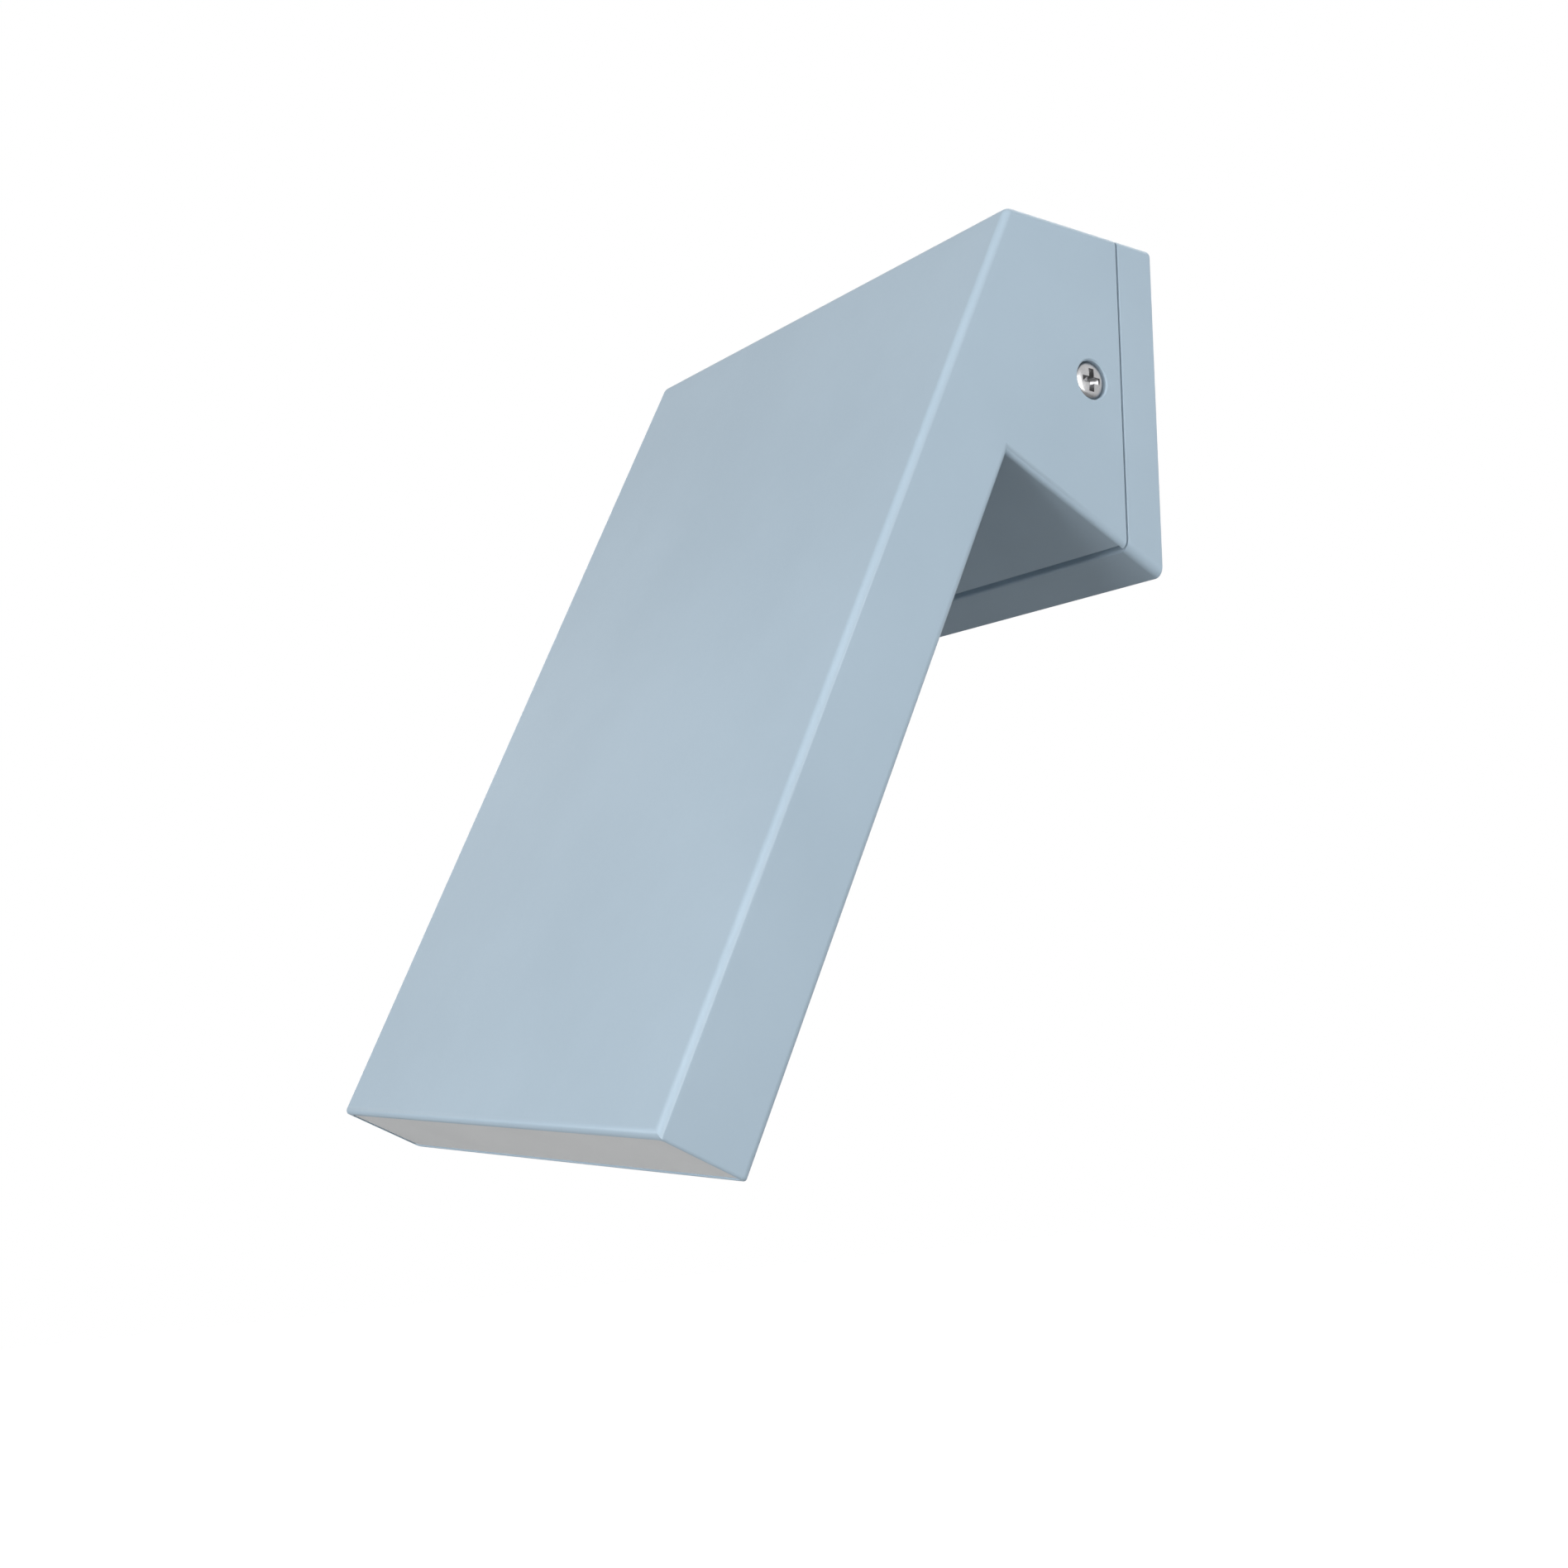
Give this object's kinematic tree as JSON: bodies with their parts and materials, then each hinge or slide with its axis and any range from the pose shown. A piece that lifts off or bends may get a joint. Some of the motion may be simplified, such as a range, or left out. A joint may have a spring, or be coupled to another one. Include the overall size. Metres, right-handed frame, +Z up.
{
  "type": "outdoor wall light",
  "caption": "Outdoor wall light: a flat slanted arm on a short head, lit at its lower end, clamped to a wall bracket by a screw in each side.",
  "frame": {"origin": "centre of the bracket's rear face, midway between the two wall fixing holes", "axes": "+X to the light's own right as seen from the room, +Y into the wall, +Z up"},
  "size_m": [0.13, 0.1237, 0.1874],
  "materials": {
    "painted_shell": "satin light blue-grey powder coat on cast aluminium, with a very fine texture",
    "stainless": "bright stainless",
    "zinc_plated": "bright zinc",
    "black_rubber": "matt black rubber",
    "grey_rubber": "dark grey foam rubber",
    "silicone": "pale silicone",
    "opal": "frosted opal sheet, unlit",
    "white_plastic": "satin white",
    "board_white": "white solder mask",
    "phosphor": "yellow phosphor under clear silicone",
    "ivory_plastic": "natural nylon",
    "bare_aluminium": "rolled aluminium",
    "blue_pad": "soft heat pad",
    "brass": "bright brass",
    "tinned": "tinned copper",
    "brown_wire": "brown sleeve",
    "blue_wire": "blue sleeve",
    "green_yellow_wire": "green and yellow striped sleeve",
    "red_wire": "red sleeve",
    "black_wire": "black sleeve"
  },
  "bodies": {
    "bracket": {"wall_bracket": "painted_shell", "wall_gasket": "grey_rubber", "cable_grommet": "grey_rubber", "seam_seal": "black_rubber"},
    "lamp": {"housing": "painted_shell", "arm_cover": "painted_shell", "cover_seal": "black_rubber", "cover_screws": "stainless", "diffuser": "opal", "diffuser_seal": "silicone", "reflector": "white_plastic", "led_board": "board_white", "led_chips": "phosphor", "led_connector": "ivory_plastic", "board_screws": "zinc_plated", "led_carrier": "bare_aluminium", "heat_pad": "blue_pad", "carrier_screws": "zinc_plated", "driver": "white_plastic", "driver_screws": "zinc_plated", "terminal_block": "ivory_plastic", "terminal_clamps": "brass", "terminal_screws": "zinc_plated", "block_screws": "zinc_plated", "earth_screw": "zinc_plated", "earth_lug": "tinned", "live_wire": "brown_wire", "neutral_wire": "blue_wire", "earth_wire": "green_yellow_wire", "positive_wire": "red_wire", "negative_wire": "black_wire", "right_ring": "black_rubber", "left_ring": "black_rubber"},
    "right_screw": {"right_side_screw": "stainless"},
    "right_nut": {"right_clamp_nut": "zinc_plated"},
    "left_screw": {"left_side_screw": "stainless"},
    "left_nut": {"left_clamp_nut": "zinc_plated"}
  },
  "joints": [
    {"name": "housing_pull_off", "type": "slide", "parent": "bracket", "child": "lamp", "axis": [0, -1, 0], "range_m": [0, 0.04]},
    {"name": "right_nut_travel", "type": "slide", "parent": "lamp", "child": "right_nut", "axis": [-1, 0, 0], "range_m": [0, 0.0021]},
    {"name": "right_screw_turn", "type": "hinge", "parent": "lamp", "child": "right_screw", "pos_m": [0.065, -0.0187, 0.0035], "axis": [1, 0, 0], "range_deg": [0, 1080]},
    {"name": "left_nut_travel", "type": "slide", "parent": "lamp", "child": "left_nut", "axis": [1, 0, 0], "range_m": [0, 0.0021]},
    {"name": "left_screw_turn", "type": "hinge", "parent": "lamp", "child": "left_screw", "pos_m": [-0.065, -0.0187, 0.0035], "axis": [-1, 0, 0], "range_deg": [0, 1080]}
  ],
  "couplings": [
    {"joint": "right_screw_turn", "follows": "right_nut_travel", "rad_per_m": 8975.1},
    {"joint": "left_screw_turn", "follows": "left_nut_travel", "rad_per_m": 8975.1}
  ]
}
